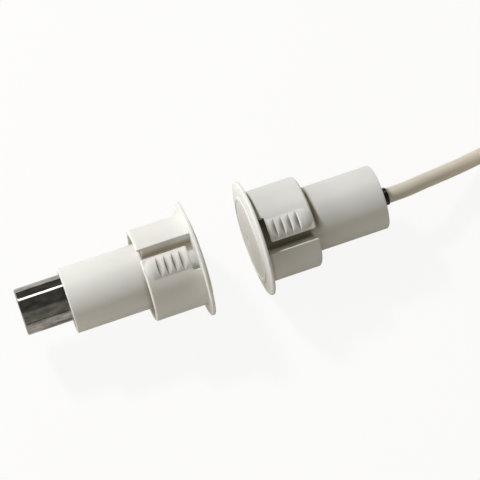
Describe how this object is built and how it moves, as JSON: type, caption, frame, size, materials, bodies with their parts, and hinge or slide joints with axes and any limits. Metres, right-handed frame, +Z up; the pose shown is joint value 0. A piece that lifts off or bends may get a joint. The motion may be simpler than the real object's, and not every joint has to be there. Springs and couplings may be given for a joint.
{
  "type": "magnetic contact",
  "caption": "Recessed magnetic door contact: a cabled reed switch unit facing its magnet unit, each a round flange with a barrel and a split, toothed spring collar.",
  "frame": {"origin": "where the common axis meets the seat face (rear face of the flange) of the switch unit", "axes": "+X along the common axis from the switch unit's flange towards its cable; the magnet unit is on the -X side; +Z is up from the surface both units lie on"},
  "size_m": [0.2162, 0.0442, 0.0318],
  "materials": {
    "switch_plastic": "satin moulded, light warm grey",
    "magnet_plastic": "satin moulded, warm white",
    "black_epoxy": "poured, glossy black",
    "reed_glass": "clear, faintly green",
    "nickel_iron": "bright drawn",
    "tinned_copper": "tinned",
    "cable_jacket": "beige PVC, satin",
    "tie_black": "satin",
    "core_red": "satin",
    "core_white": "satin",
    "bare_copper": "bright drawn copper",
    "bright_magnet": "bright plated, smooth"
  },
  "bodies": {
    "switch_unit": {"switch_housing": "switch_plastic", "potting": "black_epoxy", "reed_glass": "reed_glass", "reed_lead_front": "nickel_iron", "reed_lead_rear": "nickel_iron", "splice_front": "tinned_copper", "splice_rear": "tinned_copper", "core_front": "core_red", "core_rear": "core_white", "cable_entry": "cable_jacket", "cable_run": "cable_jacket", "cable_hank": "cable_jacket", "hank_tie_a": "tie_black", "hank_tie_b": "tie_black", "cable_tail": "cable_jacket", "tail_core_a": "core_red", "tail_core_b": "core_white", "tail_copper_a": "bare_copper", "tail_copper_b": "bare_copper"},
    "front_reed": {"reed_blade_front": "nickel_iron"},
    "rear_reed": {"reed_blade_rear": "nickel_iron"},
    "magnet_unit": {"magnet_housing": "magnet_plastic", "magnet_rod": "bright_magnet", "magnet_adhesive": "black_epoxy"}
  },
  "joints": [
    {"name": "magnet_approach", "type": "slide", "parent": "switch_unit", "child": "magnet_unit", "axis": [1, 0, 0], "range_m": [-0.03, 0.0106]},
    {"name": "reed_front_close", "type": "hinge", "parent": "switch_unit", "child": "front_reed", "pos_m": [0.0063, 0, -0.00063], "axis": [0, 1, 0], "range_deg": [0, 0.64], "stiffness_Nm_per_rad": 0.001},
    {"name": "reed_rear_close", "type": "hinge", "parent": "switch_unit", "child": "rear_reed", "pos_m": [0.0167, 0, -0.00097], "axis": [0, 1, 0], "range_deg": [0, 0.64], "stiffness_Nm_per_rad": 0.001}
  ],
  "couplings": [
    {"joint": "reed_rear_close", "follows": "reed_front_close", "ratio": 1}
  ]
}
